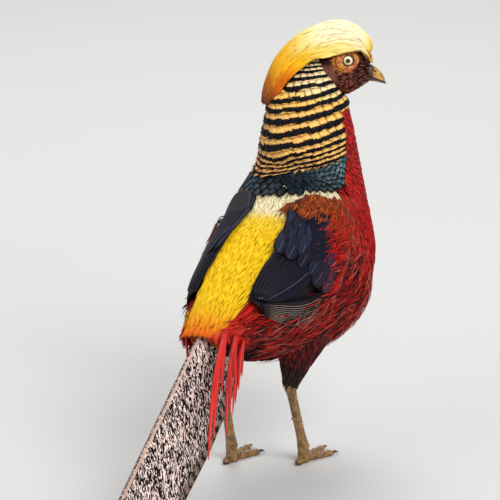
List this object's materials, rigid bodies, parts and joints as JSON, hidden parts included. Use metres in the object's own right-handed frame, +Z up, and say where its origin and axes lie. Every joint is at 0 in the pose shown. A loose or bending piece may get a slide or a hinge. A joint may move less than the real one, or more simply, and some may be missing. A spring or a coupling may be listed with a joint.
{
  "type": "golden pheasant",
  "caption": "Life-size golden pheasant cock standing with its head turned aside: golden crest, barred cape, scarlet breast, folded wings and long mottled tail laid out to the floor.",
  "frame": {"origin": "Centre of the bounding box on the floor under the bird.", "axes": "+X is the way the body faces, +Y is the bird's left, +Z is up."},
  "size_m": [0.8342, 0.1182, 0.334],
  "materials": {
    "bill_lower": "semi-gloss horn",
    "bill_upper": "semi-gloss horn",
    "eye_left": "gloss",
    "eye_right": "gloss",
    "foot_left": "satin scale",
    "foot_right": "satin scale",
    "head": "feathered",
    "neck": "feathered",
    "rump": "feathered",
    "shank_left": "satin scale",
    "shank_right": "satin scale",
    "tail_base": "feathered",
    "tail_end": "feathered",
    "thigh_left": "feathered",
    "thigh_right": "feathered",
    "torso": "feathered",
    "wing_left": "feathered",
    "wing_right": "feathered"
  },
  "bodies": {
    "root": {"bill_lower": "bill_lower", "bill_upper": "bill_upper", "eye_left": "eye_left", "eye_right": "eye_right", "foot_left": "foot_left", "foot_right": "foot_right", "head": "head", "neck": "neck", "rump": "rump", "shank_left": "shank_left", "shank_right": "shank_right", "tail_base": "tail_base", "tail_end": "tail_end", "thigh_left": "thigh_left", "thigh_right": "thigh_right", "torso": "torso", "wing_left": "wing_left", "wing_right": "wing_right"}
  },
  "joints": []
}
